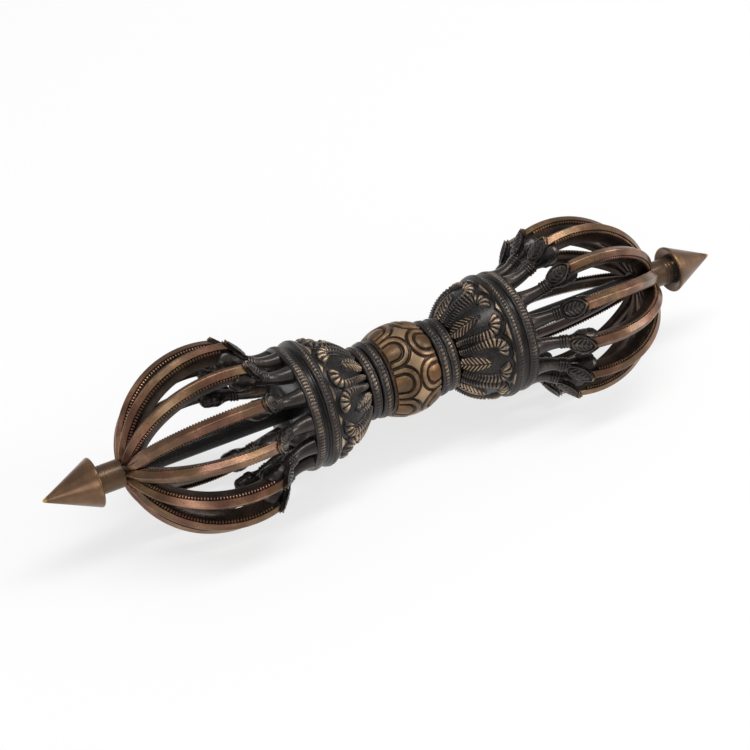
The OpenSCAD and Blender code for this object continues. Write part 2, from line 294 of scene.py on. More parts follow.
def polar(r, angle, z):
    """Point at a radius, angle and height"""
    return Vector((r * math.cos(angle), r * math.sin(angle), z))


def new_bmesh():
    """Empty bmesh with its finish layers: wear rubs the metal bright and tone turns patina to copper"""
    bm = bmesh.new()
    bm.verts.layers.float.new("wear")
    bm.verts.layers.float.new("tone")
    return bm


def paint(bm, verts, wear, tone=0):
    """Sets the finish of some vertices"""
    wear_layer, tone_layer = bm.verts.layers.float["wear"], bm.verts.layers.float["tone"]
    for vert in verts:
        vert[wear_layer], vert[tone_layer] = wear, tone


def wrapped(around, along, place):
    """Grid wrapped about Z: place gives a point and its wear for an angle and a share of the length"""
    bm = new_bmesh()
    wear = bm.verts.layers.float["wear"]
    bmesh.ops.create_grid(bm, x_segments=around, y_segments=along, size=0.5)
    for vert in bm.verts:
        vert.co, vert[wear] = place(TURN * (vert.co.x + 0.5), vert.co.y + 0.5)
    bmesh.ops.remove_doubles(bm, verts=bm.verts, dist=SEAM)
    return bm


def open_edges(bm):
    """Edges with a face on one side only"""
    return [edge for edge in bm.edges if len(edge.link_faces) == 1]


def close_to_bore(bm, bore_r):
    """Runs the open ends of a wrapped grid in to a bore and joins them through it"""
    grown = bmesh.ops.extrude_edge_only(bm, edges=open_edges(bm))["geom"]
    for vert in grown:
        if isinstance(vert, bmesh.types.BMVert):
            vert.co.xy *= bore_r / vert.co.xy.length
    bmesh.ops.bridge_loops(bm, edges=open_edges(bm))
    bmesh.ops.recalc_face_normals(bm, faces=bm.faces)


def turned(profile, steps):
    """Profile of (radius, height, wear) points turned about Z"""
    bm = new_bmesh()
    verts = []
    for r, z, wear in profile:
        verts.append(bm.verts.new((r, 0, z)))
        paint(bm, verts[-1:], wear)
    edges = [bm.edges.new(pair) for pair in zip(verts, verts[1:])]
    bmesh.ops.spin(
        bm, geom=verts + edges, cent=(0, 0, 0), axis=(0, 0, 1), angle=TURN, steps=steps, use_merge=True
    )
    bmesh.ops.remove_doubles(bm, verts=bm.verts, dist=SEAM)
    bmesh.ops.recalc_face_normals(bm, faces=bm.faces)
    return bm


def arc(centre, r, start, stop, steps, wear):
    """Profile points along an arc about (radius, height), between two angles in degrees"""
    angles = [math.radians(start + (stop - start) * i / steps) for i in range(steps + 1)]
    return [(centre[0] + r * math.cos(a), centre[1] + r * math.sin(a), wear) for a in angles]


def swept(bm, stations, segments):
    """Tube through stations of (matrix that places a unit circle, wear, tone); gives its vertices"""
    matrix, wear, tone = stations[0]
    ring = bmesh.ops.create_circle(bm, cap_ends=True, segments=segments, radius=1, matrix=matrix)["verts"]
    paint(bm, ring, wear, tone)
    made = list(ring)
    edges = list({edge for vert in ring for edge in vert.link_edges})
    for (before, _, _), (matrix, wear, tone) in zip(stations, stations[1:]):
        grown = bmesh.ops.extrude_edge_only(bm, edges=edges)["geom"]
        ring = [item for item in grown if isinstance(item, bmesh.types.BMVert)]
        edges = [edge for edge in grown if isinstance(edge, bmesh.types.BMEdge) and edge.is_boundary]
        bmesh.ops.transform(bm, matrix=matrix @ before.inverted(), verts=ring)
        paint(bm, ring, wear, tone)
        made += ring
    bmesh.ops.contextual_create(bm, geom=edges)
    return made


def add_piece(bm, name, matrix, material, node, crease=180):
    """Puts a copy of a bmesh into the scene, in place of a CAD node"""
    shaped = bm.copy()
    bmesh.ops.transform(shaped, matrix=matrix, verts=shaped.verts)
    mesh = bpy.data.meshes.new(name)
    shaped.to_mesh(mesh)
    shaped.free()
    mesh.shade_smooth()
    mesh.set_sharp_from_angle(angle=math.radians(crease))
    mesh.materials.append(material)
    piece = bpy.data.objects.new(name, mesh)
    bpy.context.scene.collection.objects.link(piece)
    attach(piece, "root")
    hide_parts(node)


# Materials, with the sizes of their clouds, warm patches, specks and pits

CLOUD = 9 * MM
PATCH = 14 * MM
SPECK = 0.8 * MM
PIT = 0.25 * MM


def plug(tree, socket, value):
    """Links a socket to another one, or sets its value"""
    if isinstance(value, bpy.types.NodeSocket):
        tree.links.new(value, socket)
    else:
        socket.default_value = value


def calc(tree, operation, *values):
    """Math node on values or sockets"""
    node = tree.nodes.new("ShaderNodeMath")
    node.operation = operation
    for socket, value in zip(node.inputs, values):
        plug(tree, socket, value)
    return node.outputs[0]


def between(tree, value, low, high):
    """Smooth step of a socket from 0 at low to 1 at high"""
    node = tree.nodes.new("ShaderNodeMapRange")
    node.interpolation_type = "SMOOTHSTEP"
    plug(tree, node.inputs["Value"], value)
    node.inputs["From Min"].default_value = low
    node.inputs["From Max"].default_value = high
    return node.outputs["Result"]


def blend(tree, factor, first, second):
    """Mix of two colours"""
    node = tree.nodes.new("ShaderNodeMix")
    node.data_type = "RGBA"
    plug(tree, node.inputs["Factor"], factor)
    for socket, value in zip((node.inputs[6], node.inputs[7]), (first, second)):
        plug(tree, socket, value if isinstance(value, bpy.types.NodeSocket) else (*value, 1))
    return node.outputs[2]


def mottle(tree, size):
    """Noise with lumps of about one size"""
    place = tree.nodes.new("ShaderNodeTexCoord")
    node = tree.nodes.new("ShaderNodeTexNoise")
    node.inputs["Scale"].default_value = 1 / size
    node.inputs["Detail"].default_value = 3
    tree.links.new(place.outputs["Object"], node.inputs["Vector"])
    return node.outputs["Fac"]


def layer(tree, name):
    """Finish layer of the mesh"""
    node = tree.nodes.new("ShaderNodeAttribute")
    node.attribute_name = name
    return node.outputs["Fac"]


def worn_metal(
    name, deep, face, worn, tone_face=None, tone_worn=None, warm=None,
    rough=(0.34, 0.28), metallic=0.6, coat=0.15,
):
    """Cast metal: grime in its cuts, patina on its face and bare metal where it is rubbed"""
    material = bpy.data.materials.new(name)
    material.use_nodes = True
    tree = material.node_tree
    shader = tree.nodes["Principled BSDF"]
    cloud = mottle(tree, CLOUD)
    speck = mottle(tree, SPECK)
    wear = layer(tree, "wear")
    spotted = calc(tree, "MULTIPLY_ADD", speck, 0.4, calc(tree, "ADD", wear, -0.2))
    patchy = calc(tree, "MULTIPLY_ADD", cloud, 0.9, calc(tree, "ADD", spotted, -0.45))
    raised = between(tree, spotted, -0.05, 0.25)
    rubbed = between(tree, patchy, 0.35, 0.95)
    if warm:
        patch = between(tree, mottle(tree, PATCH), 0.4, 0.65)
        if tone_face:
            tone_face = blend(tree, patch, tone_face, warm)
        else:
            face = blend(tree, patch, face, warm)
    if tone_face:
        tone = between(tree, calc(tree, "MULTIPLY_ADD", cloud, 0.3, layer(tree, "tone")), 0.3, 0.9)
        face = blend(tree, tone, face, tone_face)
        worn = blend(tree, tone, worn, tone_worn)
    skin = blend(tree, raised, deep, face)
    shade = blend(tree, rubbed, skin, worn)
    streak = calc(tree, "MULTIPLY_ADD", between(tree, cloud, 0.3, 0.7), 0.7, 0.65)
    tinted = tree.nodes.new("ShaderNodeVectorMath")
    tinted.operation = "SCALE"
    plug(tree, tinted.inputs[0], shade)
    plug(tree, tinted.inputs["Scale"], streak)
    plug(tree, shader.inputs["Base Color"], tinted.outputs[0])
    dull, bright = rough
    gloss = calc(tree, "MULTIPLY_ADD", rubbed, bright - dull, dull)
    grain = calc(tree, "MULTIPLY_ADD", speck, 0.16, calc(tree, "ADD", gloss, -0.08))
    plug(tree, shader.inputs["Roughness"], grain)
    shader.inputs["Metallic"].default_value = metallic
    shader.inputs["Coat Weight"].default_value = coat
    shader.inputs["Coat Roughness"].default_value = 0.2
    bump = tree.nodes.new("ShaderNodeBump")
    bump.inputs["Strength"].default_value = 0.25
    bump.inputs["Distance"].default_value = 0.08 * MM
    plug(tree, bump.inputs["Height"], calc(tree, "ADD", speck, mottle(tree, PIT)))
    plug(tree, shader.inputs["Normal"], bump.outputs["Normal"])
    return material


def finish(name):
    """Material of one of the vajra's finishes, made on its first use"""
    if name in bpy.data.materials:
        return bpy.data.materials[name]
    c = bpy.context.scene.vajra.colours
    looks = {
        "black_patina": dict(deep=c.grime, face=c.patina, worn=c.rubbed),
        "ball_brass": dict(
            deep=c.ball_grime, face=c.ball, worn=c.ball_worn, warm=c.ball_warm,
            rough=(0.36, 0.32), metallic=0.5, coat=0,
        ),
        "prong_copper": dict(
            deep=c.grime, face=c.patina, worn=c.rubbed, tone_face=c.blade, tone_worn=c.blade_worn,
            warm=c.blade_warm, rough=(0.3, 0.28), metallic=0.65,
        ),
        "finial_brown": dict(
            deep=c.grime, face=c.finial, worn=c.finial_worn, rough=(0.32, 0.28), metallic=0.7,
        ),
        "sleeve_brown": dict(deep=c.grime, face=c.sleeve, worn=c.ball, rough=(0.38, 0.34)),
    }
    return worn_metal(name, **looks[name])


# Pieces

def lobe_relief(sizes, along, aside, seat):
    """Height and wear of the ball, from the distances to its equator and to a lobe's middle line"""
    rim_in = sizes.boss_r + sizes.groove_w
    rim_out = rim_in + sizes.rim_w
    head = rim_out + 0.65 * sizes.groove_w
    d = math.hypot(aside, max(head - along, 0))

    def past(edge):
        return ramp(edge - sizes.wall, edge + sizes.wall, d)

    boss = 1 - past(sizes.boss_r)
    rim = past(rim_in) * (1 - past(rim_out))
    star = past(rim_out + 0.9 * sizes.groove_w)
    collar = ramp(seat - sizes.collar_w - sizes.wall, seat - sizes.collar_w + sizes.wall, along)
    rim_swell = 0.4 * dome(2 * (d - rim_in) / sizes.rim_w - 1)
    swell = sizes.boss_rise * max(1 - (d / sizes.boss_r) ** 2, rim_swell)
    worn = max(boss * (0.3 + 0.3 * (d / sizes.boss_r) ** 4), 0.62 * rim, 0.95 * star)
    open_cut = 1 - max(boss, rim, star)
    rise = swell - sizes.groove_depth * open_cut
    return rise * (1 - collar) - 0.6 * sizes.groove_depth * collar, worn * (1 - collar) + 0.02 * collar


class VAJRA_OT_hub_ball(bpy.types.Operator):
    """Carve the hub ball with a round-headed lobe in each sector of both halves"""

    bl_idname = "vajra.hub_ball"
    bl_label = "Hub ball"

    def execute(self, context):
        sizes = context.scene.vajra.hub
        reach = math.asin(HUB_SEAT / HUB_R)
        sector = TURN / sizes.lobes
        lobe_scale = HUB_R * math.cos(0.6 * reach)

        def place(angle, part):
            tilt = reach * (2 * part - 1)
            off = (angle - sizes.phase + sector / 2) % sector - sector / 2
            rise, worn = lobe_relief(sizes, HUB_R * abs(tilt), lobe_scale * abs(off), HUB_R * reach)
            r = HUB_R + rise
            z = min(max(r * math.sin(tilt), -HUB_SEAT), HUB_SEAT)
            return polar(r * math.cos(tilt), angle, z), worn

        columns, rows = 80 * sizes.lobes, 120
        bm = wrapped(columns, rows, place)
        close_to_bore(bm, SPINDLE_R)
        add_piece(bm, "hub_ball_carved", END["right"], finish("ball_brass"), "hub_ball")
        bm.free()
        return {"FINISHED"}


def ring_relief(sizes, bands, beads, z, angle):
    """Depth below the ring's outer radius and wear, across bands of (kind, width, beaded share)"""
    start = 0
    for kind, width, beaded in bands:
        if z <= start + width + SEAM:
            break
        start += width
    t = min(max(2 * (z - start) / width - 1, -1), 1)
    if kind == "groove":
        return sizes.bulge, 0
    lean = sizes.slant * t if kind == "beads" else 0
    s = 2 * ((angle * beads / TURN + lean) % 1) - 1
    across = abs(t) / beaded
    crown = 1 - ramp(0.85, 1.15, across)
    top = dome(0.96 * s) * (dome(across) if kind == "beads" else max(1 - across ** 6, 0))
    depth = sizes.bulge * (1 - dome(0.97 * t)) + sizes.cut * crown * (1 - top)
    polish = 0.52 if kind == "beads" else 0.47
    return depth, 0.2 * dome(t) * (1 - crown) + crown * polish * ramp(0.4, 0.95, top)


def make_rings(piece, bands, beads, columns):
    """Beaded rings of both ends, with bands laid outwards from the hub"""
    sizes = bpy.context.scene.vajra.rings
    near, far, r = station(piece)
    scale = (far - near) / sum(width for _, width, _ in bands)
    fitted = [(kind, width * scale, beaded) for kind, width, beaded in bands]

    def place(angle, part):
        z = part * (far - near)
        sunk, worn = ring_relief(sizes, fitted, beads, z, angle)
        return polar(r - sunk, angle, near + z), worn

    bm = wrapped(beads * columns, round((far - near) / sizes.row), place)
    close_to_bore(bm, SPINDLE_R)
    for side in SIDES:
        name = f"{side}_{piece}"
        add_piece(bm, f"{name}_beaded", END[side], finish("black_patina"), name)
    bm.free()


class VAJRA_OT_neck_rings(bpy.types.Operator):
    """Bead the two rings between the hub and each cup"""

    bl_idname = "vajra.neck_rings"
    bl_label = "Neck rings"

    def execute(self, context):
        beads = context.scene.vajra.rings.neck_beads
        bands = (("beads", 3.7, 0.48),)
        for piece in ("hub_ring", "cup_ring"):
            make_rings(piece, bands, beads, 10)
        return {"FINISHED"}


class VAJRA_OT_mouth_rings(bpy.types.Operator):
    """Bead the ring on each cup's mouth"""

    bl_idname = "vajra.mouth_rings"
    bl_label = "Mouth rings"

    def execute(self, context):
        bands = (("groove", 0.5, 0), ("beads", 3.1, 0.5), ("groove", 0.5, 0))
        make_rings("mouth_ring", bands, context.scene.vajra.rings.mouth_beads, 7)
        return {"FINISHED"}


class VAJRA_OT_prong_plates(bpy.types.Operator):
    """Mill the rim of the plate that carries each basket's prongs"""

    bl_idname = "vajra.prong_plates"
    bl_label = "Prong plates"

    def execute(self, context):
        bands = (("groove", 1.1, 0), ("flutes", 3.7, 0.62))
        make_rings("prong_plate", bands, context.scene.vajra.rings.flutes, 7)
        return {"FINISHED"}


def scroll_line(sizes):
    """Middle line of a scroll as (offset from the motif's middle, distance from the small end)"""
    centre = Vector((sizes.hook_u, sizes.hook_v))
    outer = centre + Vector((sizes.hook_r, 0))
    foot = Vector((sizes.foot_u, 0.2 * MM))
    lean, pull = 0.9 * MM, 4.5 * MM
    steps = 20
    line = interpolate_bezier(foot, foot + Vector((lean, pull)), outer - Vector((0, pull)), outer, steps)
    for i in range(1, steps + 1):
        angle = sizes.hook_swing * i / steps
        r = sizes.hook_r * (1 - sizes.hook_shrink * i / steps)
        line.append(centre + r * Vector((math.cos(angle), math.sin(angle))))
    return line


def nearest_on(line, point):
    """Distance from a point to a line, how far along it that is, and the line's whole length"""
    best, best_run, run = math.inf, 0, 0
    for first, second in zip(line, line[1:]):
        part = min(max(intersect_point_line(point, first, second)[1], 0), 1)
        span = second - first
        gap = (first + part * span - point).length
        if gap < best:
            best, best_run = gap, run + part * span.length
        run += span.length
    return best, best_run, run


def leaf_relief(sizes, u, v):
    """Height above the ground and wear on the lance leaf in a motif's middle"""
    part = v / sizes.leaf_l
    if not 0 < part < 1:
        return 0, 0
    half = 1.25 * sizes.leaf_w * (1 - part) ** 0.42 * (0.55 + 0.45 * ramp(0, 0.4, part))
    if u >= half:
        return 0, 0
    vein = abs(math.sin(math.pi * (v + 0.8 * u) / sizes.vein_pitch))
    bow = 1 - 0.4 * (u / half) ** 2
    midrib = 1 - ramp(0.08 * MM, 0.3 * MM, u)
    edge = ramp(0, 0.3 * MM, half - u)
    rise = sizes.depth * edge * (1.1 * bow - 0.6 * max(1 - vein, midrib))
    return rise, edge * 0.78 * vein * (1 - midrib)


class VAJRA_OT_lotus_cups(bpy.types.Operator):
    """Carve scrolls, lance leaves and their scooped ground into the lotus cups"""

    bl_idname = "vajra.lotus_cups"
    bl_label = "Lotus cups"

    def execute(self, context):
        sizes = context.scene.vajra.cups
        near, far, mouth_r = station("lotus_cup")
        centre_z = (mouth_r ** 2 + (far - near) ** 2 - sizes.small_r ** 2) / (2 * (far - near))
        bowl_r = math.hypot(sizes.small_r, centre_z)
        low, high = math.asin(-centre_z / bowl_r), math.asin((far - near - centre_z) / bowl_r)
        sector = TURN / sizes.motifs
        line = scroll_line(sizes)

        @functools.lru_cache(maxsize=None)
        def relief(u, v):
            gap, run, whole = nearest_on(line, Vector((u, v)))
            half = sizes.stem_w + (sizes.scroll_w - sizes.stem_w) * ramp(0, whole, run)
            flat = ramp(half + 0.8 * sizes.scoop, half + sizes.scoop, gap)
            flat *= ramp(sizes.flat_v, sizes.flat_v + 3 * MM, v)
            lip = ramp(sizes.lip_v, sizes.lip_v + 0.7 * MM, v)
            rise, worn = sizes.depth * flat, 0.05 + flat * (0.28 + 0.42 * lip)
            leaf, leaf_worn = leaf_relief(sizes, u, v)
            if leaf > rise:
                rise, worn = leaf, leaf_worn
            if gap < half and run < whole - SEAM:
                growth = sizes.rib_growth
                beat = math.log(1 + growth * run / sizes.rib_pitch) / growth
                rib = abs(math.sin(math.pi * beat))
                swell = 0.75 + 0.25 * ramp(0, 0.6 * whole, run)
                body = dome(0.97 * gap / half)
                scroll = body * (swell * sizes.scroll_rise - sizes.rib_depth * (1 - rib))
                if scroll > rise:
                    bright = 0.5 + 0.25 * ramp(0.3 * whole, 0.8 * whole, run)
                    rise, worn = scroll, body * ramp(0.3, 0.85, rib) * bright
            return rise - sizes.depth, worn

        def place(angle, part):
            tilt = low + (high - low) * part
            off = abs((angle + sector / 2) % sector - sector / 2)
            u, v = bowl_r * math.cos(tilt) * off, bowl_r * (tilt - low)
            rise, worn = relief(round(u, 7), round(v, 7))
            r = bowl_r + rise
            return polar(r * math.cos(tilt), angle, near + centre_z + r * math.sin(tilt)), worn

        columns, rows = 92 * sizes.motifs, 140
        bm = wrapped(columns, rows, place)
        close_to_bore(bm, SPINDLE_R)
        for side, phase in (("left", sizes.left_phase), ("right", sizes.right_phase)):
            name = f"{side}_lotus_cup"
            spun = END[side] @ Matrix.Rotation(phase, 4, "Z")
            add_piece(bm, f"{name}_carved", spun, finish("black_patina"), name)
        bm.free()
        return {"FINISHED"}


def in_prong(r, z, lean, y=0):
    """Place in a prong's own plane, with its Z turned outwards by lean"""
    return Matrix.Translation((r, y, z)) @ Matrix.Rotation(lean, 4, "Y")


def add_stalk(bm, sizes, root_z):
    """Round stalk that flares at its root and bends outwards to its bracelet"""
    stations = []
    steps = 16
    for i in range(steps + 1):
        part = i / steps
        lean = sizes.bend * part
        r = sizes.circle_r + sizes.bend_r * (1 - math.cos(lean))
        z = root_z + sizes.bend_r * math.sin(lean)
        thick = sizes.stalk_r + (sizes.root_r - sizes.stalk_r) * (1 - part) ** 1.4
        stations.append((in_prong(r, z, lean) @ Matrix.Diagonal((thick, thick, 1, 1)), 0.3, 0))
    stations.append((stations[-1][0] @ Matrix.Translation((0, 0, sizes.straight)), 0.3, 0))
    swept(bm, stations, 32)


def add_bracelet(bm, sizes, brace):
    """Three rounded rings between the stalk and the head"""
    for step in (-2, -1, 0):
        stations = []
        for i in range(9):
            angle = math.pi * (i / 8 - 0.5)
            wide = 0.95 * sizes.stalk_r + sizes.ring_r * math.cos(angle)
            place = brace @ Matrix.Translation((0, 0, sizes.ring_r * (2 * step + math.sin(angle))))
            stations.append((place @ Matrix.Diagonal((wide, wide, 1, 1)), 0.1 + 0.22 * math.cos(angle), 0))
        swept(bm, stations, 28)


def add_head(bm, sizes, brace):
    """Head that swells from the bracelet to the blade, with a curl carved into each cheek"""
    r, _, z = brace.translation
    start, ahead = Vector((r, z)), Vector((math.sin(sizes.bend), math.cos(sizes.bend)))
    end = start + Vector((sizes.head_out, sizes.head_l))
    reach = sizes.head_l * 0.4
    steps = 30
    line = interpolate_bezier(start, start + reach * ahead, end - Vector((0.05, 1)) * reach, end, steps)
    stations = []
    for i, point in enumerate(line):
        part = i / (steps - 1)
        way = line[min(i + 1, steps - 1)] - line[max(i - 1, 0)]
        swell = ramp(0, 0.5, part)
        shut = dome(0.99 * max(part - 0.7, 0) / 0.3)
        deep = (sizes.stalk_r + (sizes.head_d - sizes.stalk_r) * swell) * shut
        wide = (sizes.stalk_r + (sizes.head_w - sizes.stalk_r) * swell) * shut
        place = in_prong(point.x, point.y, math.atan2(way.x, way.y))
        stations.append((place @ Matrix.Diagonal((deep, wide, 1, 1)), 0.22, 0))
    verts = swept(bm, stations, 40)
    for part, reach, pitch in ((0.45, 3.2 * MM, 1.5 * MM), (0.8, 2.4 * MM, 1.3 * MM)):
        carve_curl(bm, verts, line[int(part * steps)], reach, pitch)


def carve_curl(bm, verts, centre, reach, pitch):
    """Presses a spiral line into both cheeks around a point of the prong's plane"""
    wear = bm.verts.layers.float["wear"]
    for vert in verts:
        away = Vector((vert.co.x, vert.co.z)) - centre
        wave = math.cos(TURN * away.length / pitch - math.atan2(away.y, away.x))
        amount = (1 - ramp(0.6 * reach, reach, away.length)) * ramp(0.6 * MM, 1.6 * MM, abs(vert.co.y))
        vert.co.y += math.copysign(0.28 * MM * wave * amount, vert.co.y)
        vert[wear] += 0.16 * wave * amount


def add_lump(bm, matrix, size):
    """Curled lump of the lower jaw"""
    place = matrix @ Matrix.Diagonal((*size, 1))
    verts = bmesh.ops.create_uvsphere(bm, u_segments=36, v_segments=24, radius=MM, matrix=place)["verts"]
    paint(bm, verts, 0.2)
    carve_curl(bm, verts, Vector((matrix.translation.x, matrix.translation.z)), 2.6 * MM, 1.3 * MM)


def add_leaf(bm, sizes, matrix):
    """Leaf crest: a pointed oval with a raised rim, a midrib and slanting strokes"""
    bare = new_bmesh()
    wear = bare.verts.layers.float["wear"]
    bmesh.ops.create_grid(bare, x_segments=54, y_segments=34, size=1)
    for vert in bare.verts:
        p, q = vert.co.x, vert.co.y
        taper = (1 - p ** 1.9) ** 0.95 if p > 0 else (1 - abs(p) ** 2.6) ** 0.62
        half = sizes.leaf_w / 2 * taper
        inset = min((1 - abs(q)) * half, (1 - abs(p)) * sizes.leaf_l / 2 * 0.8)
        rim = 1 - ramp(0.4 * MM, 0.75 * MM, inset)
        field = ramp(0.9 * MM, 1.15 * MM, inset)
        stroke = abs(math.sin(math.pi * (p * sizes.leaf_l / 2 - 0.9 * abs(q) * half) / (1.6 * MM)))
        midrib = 1 - ramp(0.12 * MM, 0.4 * MM, abs(q) * half)
        rise = max(0.5 * rim, field * (0.12 + 0.42 * max(stroke, midrib)))
        bow = 0.75 * (1 - q * q) * (1 - p * p) + 0.5 * max(p, 0) ** 3
        vert.co = Vector(((rise + bow) * MM, q * half, p * sizes.leaf_l / 2))
        tip = ramp(0.7, 1, p) * rim
        vert[wear] = 0.05 + 0.27 * max(rim, field * max(stroke, midrib)) + 0.55 * tip
    bmesh.ops.remove_doubles(bare, verts=bare.verts, dist=SEAM)
    bmesh.ops.recalc_face_normals(bare, faces=bare.faces)
    bmesh.ops.solidify(bare, geom=bare.faces, thickness=sizes.leaf_t)
    bmesh.ops.recalc_face_normals(bare, faces=bare.faces)
    bmesh.ops.transform(bare, matrix=matrix, verts=bare.verts)
    mesh = bpy.data.meshes.new("leaf")
    bare.to_mesh(mesh)
    bare.free()
    bm.from_mesh(mesh)
    bpy.data.meshes.remove(mesh)


def blade_half_w(sizes, r):
    """Half the width that a blade may take at a distance from the axis"""
    return r * math.tan(SECTOR / 2) - sizes.gap


def add_blade(bm, sizes, belly_at):
    """Blade bent along one arc: gabled back, groove, bead rows and web, narrowed towards its toe"""
    arc_x = sizes.belly_r - sizes.arc_r
    half, eave, web = sizes.gable_w / 2, sizes.gable_h, sizes.web_w / 2
    # One flank from the ridge inwards: distance from the middle plane, depth, wear and tone
    flank = [
        (0.16 * MM, 0.02 * MM, 0.5, 1),
        (0.4 * MM, 0.22 * MM, 0.4, 1),
        (half - 0.15 * MM, eave - 0.12 * MM, 0.38, 1),
        (half, eave, 0.5, 1),
        (half - 0.08 * MM, eave + 0.28 * MM, 0.2, 0.8),
        (web, eave + 0.4 * MM, 0.02, 0),
        # Lower web: more wear and copper tone than the groove above, partly the web's own brown and partly
        # painted light that lifts the shade inside the basket
        (web, eave + 1.9 * MM, 0.2, 0.3),
        (web + 0.1 * MM, sizes.depth - 0.9 * MM, 0.28, 0.35),
        (web - 0.5 * MM, sizes.depth, 0.28, 0.35),
    ]
    section = [*flank, *[(-y, *rest) for y, *rest in reversed(flank)]]
    start, stop, steps = math.radians(-16), math.radians(80), 72
    before = set(bm.verts)
    verts = []
    for y, depth, wear, tone in section:
        verts.append(bm.verts.new((sizes.arc_r - depth, y, 0)))
        paint(bm, verts[-1:], wear, tone)
    edges = [bm.edges.new((verts[i - 1], verts[i])) for i in range(len(verts))]
    bmesh.ops.rotate(bm, verts=verts, cent=(0, 0, 0), matrix=Matrix.Rotation(-start, 3, "Y"))
    bmesh.ops.spin(
        bm, geom=verts + edges, cent=(0, 0, 0), axis=(0, -1, 0), angle=stop - start, steps=steps,
        use_merge=False,
    )
    made = [vert for vert in bm.verts if vert not in before]
    bmesh.ops.translate(bm, verts=made, vec=(arc_x, 0, belly_at))
    geom = made + list({edge for vert in made for edge in vert.link_edges})
    geom += list({face for vert in made for face in vert.link_faces})
    bmesh.ops.bisect_plane(
        bm, geom=geom, plane_co=(sizes.toe_r, 0, 0), plane_no=(1, 0, 0), clear_inner=True, dist=SEAM
    )
    bmesh.ops.holes_fill(bm, edges=open_edges(bm), sides=0)
    for vert in bm.verts:
        if vert not in before:
            vert.co.y *= min(1, blade_half_w(sizes, vert.co.x) / half)
    add_bead_rows(bm, sizes, arc_x, belly_at)


def add_bead_rows(bm, sizes, arc_x, belly_at):
    """Row of upright beads along both flanks of a blade"""
    row_r = sizes.arc_r - sizes.bead_drop
    pitch = sizes.bead_pitch / row_r
    start, stop = math.radians(-10), math.radians(73)
    deep, wide, tall = 0.62 * MM, 0.55 * MM, 0.44 * MM
    for i in range(int((stop - start) / pitch)):
        angle = start + i * pitch
        r, z = arc_x + row_r * math.cos(angle), belly_at + row_r * math.sin(angle)
        slim = min(1, blade_half_w(sizes, r) / sizes.bead_out)
        for side in (-1, 1):
            place = in_prong(r, z, -angle, side * slim * (sizes.bead_out - wide))
            place @= Matrix.Diagonal((deep, wide * slim, tall, 1))
            bead = bmesh.ops.create_uvsphere(bm, u_segments=8, v_segments=5, radius=1, matrix=place)
            paint(bm, bead["verts"], 0.38, 0.65)


class VAJRA_OT_prongs(bpy.types.Operator):
    """Cast one prong and set a copy of it in every socket of both plates"""

    bl_idname = "vajra.prongs"
    bl_label = "Prongs"

    def execute(self, context):
        sizes = context.scene.vajra.prongs
        root_z = station("prong_plate")[1]
        belly_at = root_z + sizes.belly_z
        bend_end_r = sizes.circle_r + sizes.bend_r * (1 - math.cos(sizes.bend))
        bend_end_z = root_z + sizes.bend_r * math.sin(sizes.bend)
        brace = in_prong(bend_end_r, bend_end_z, sizes.bend) @ Matrix.Translation((0, 0, sizes.straight))
        bm = new_bmesh()
        add_blade(bm, sizes, belly_at)
        add_stalk(bm, sizes, root_z)
        add_bracelet(bm, sizes, brace)
        add_head(bm, sizes, brace)
        # The jaw's lumps in millimetres: distances from the axis and the plate's face, and half sizes
        for r, z, size in ((20.8, 15.9, (1.7, 2.1, 2.3)), (21.7, 19.1, (1.5, 1.8, 2.0))):
            add_lump(bm, in_prong(r * MM, root_z + z * MM, sizes.jaw_lean), size)
        add_leaf(bm, sizes, in_prong(sizes.leaf_r, root_z + sizes.leaf_z, sizes.leaf_lean))
        bmesh.ops.recalc_face_normals(bm, faces=bm.faces)
        for side in SIDES:
            for i in range(PRONGS):
                node = f"{side}_prong_{i + 1}"
                spun = END[side] @ Matrix.Rotation(sizes.phase + i * SECTOR, 4, "Z")
                add_piece(bm, f"{node}_cast", spun, finish("prong_copper"), node, 40)
        bm.free()
        return {"FINISHED"}


class VAJRA_OT_neck_sleeves(bpy.types.Operator):
    """Turn the sleeves that close the baskets"""

    bl_idname = "vajra.neck_sleeves"
    bl_label = "Neck sleeves"

    def execute(self, context):
        sizes, prongs = context.scene.vajra.neck, context.scene.vajra.prongs
        near, far, r = station("neck_sleeve")
        seat_r = prongs.toe_r - sizes.toe_gap
        shoulder = near + prongs.depth
        profile = [(SPINDLE_R, near, 0), (seat_r, near, 0), (seat_r, shoulder, 0)]
        profile += arc((r - sizes.shoulder_r, shoulder + sizes.shoulder_r), sizes.shoulder_r, -90, 0, 4, 0.4)
        for step in (2.4, 1.3):
            z = far - sizes.mark_pitch * step
            for part in (-1, -0.4, 0, 0.4, 1):
                sunk = sizes.mark_depth * (1 - abs(part))
                profile.append((r - sunk, z + sizes.mark_w * part, 0.22 + 0.1 * abs(part)))
        profile += [(r, far, 0.15), (SPINDLE_R, far, 0)]
        bm = turned([*profile, profile[0]], 96)
        for side in SIDES:
            node = f"{side}_neck_sleeve"
            add_piece(bm, f"{node}_turned", END[side], finish("sleeve_brown"), node, 40)
        bm.free()
        return {"FINISHED"}


